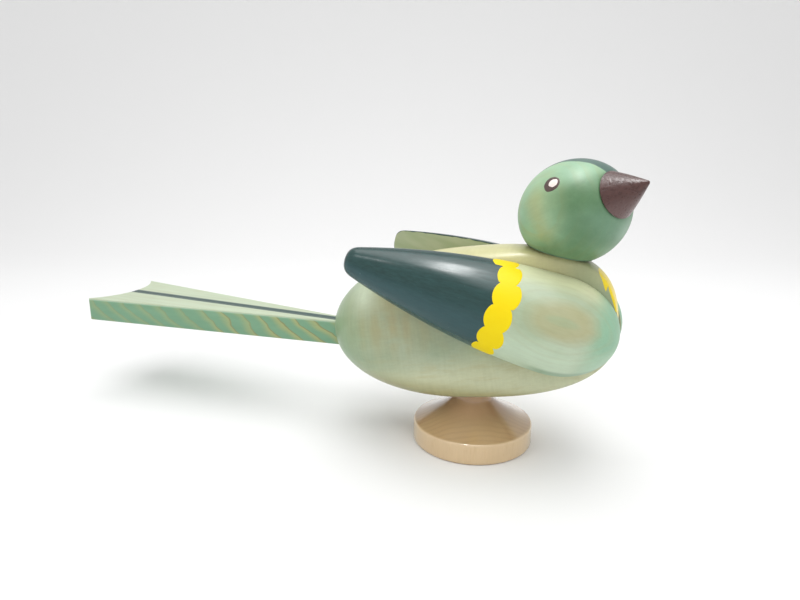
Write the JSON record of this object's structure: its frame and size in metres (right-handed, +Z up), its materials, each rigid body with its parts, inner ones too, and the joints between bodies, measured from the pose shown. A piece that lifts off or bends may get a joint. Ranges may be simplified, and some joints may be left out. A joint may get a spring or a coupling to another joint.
{
  "type": "ocarina",
  "caption": "Bird-shaped wooden vessel flute with a turning head, split wings and a tail mouthpiece, standing on a turned foot that it lifts off.",
  "frame": {"origin": "middle of the foot's underside", "axes": "+X towards the bird's breast, +Y towards its left, +Z up"},
  "size_m": [0.2022, 0.051, 0.0942],
  "materials": {
    "plain_beech": "natural, fine sanded",
    "dowel_wood": "natural",
    "block_wood": "natural",
    "mint_stain": "thin mint green stain, satin",
    "tail_stain": "thin green stain, satin",
    "wing_paint": "dark teal paint over mint green stain, semi-gloss",
    "head_stain": "green stain, satin",
    "red_beak": "thick dark red paint, gloss"
  },
  "bodies": {
    "stand": {"foot": "plain_beech"},
    "peg": {"foot_peg": "dowel_wood"},
    "bird": {"belly_shell": "mint_stain", "back_shell": "mint_stain", "windway_block": "block_wood", "left_tail": "tail_stain", "right_tail": "tail_stain", "left_wing": "wing_paint", "right_wing": "wing_paint", "left_wing_dowels": "dowel_wood", "right_wing_dowels": "dowel_wood", "neck_dowel": "dowel_wood"},
    "head": {"head": "head_stain", "beak": "red_beak"}
  },
  "joints": [
    {"name": "stand_turn", "type": "hinge", "parent": "stand", "child": "peg", "pos_m": [0, 0, 0.01], "axis": [0, 0, 1], "continuous": true},
    {"name": "lift_off", "type": "slide", "parent": "peg", "child": "bird", "axis": [0, 0, 1], "range_m": [0, 0.016]},
    {"name": "head_turn", "type": "hinge", "parent": "bird", "child": "head", "pos_m": [0.026, 0, 0.066], "axis": [0.1822, 0, 0.9833], "continuous": true}
  ]
}
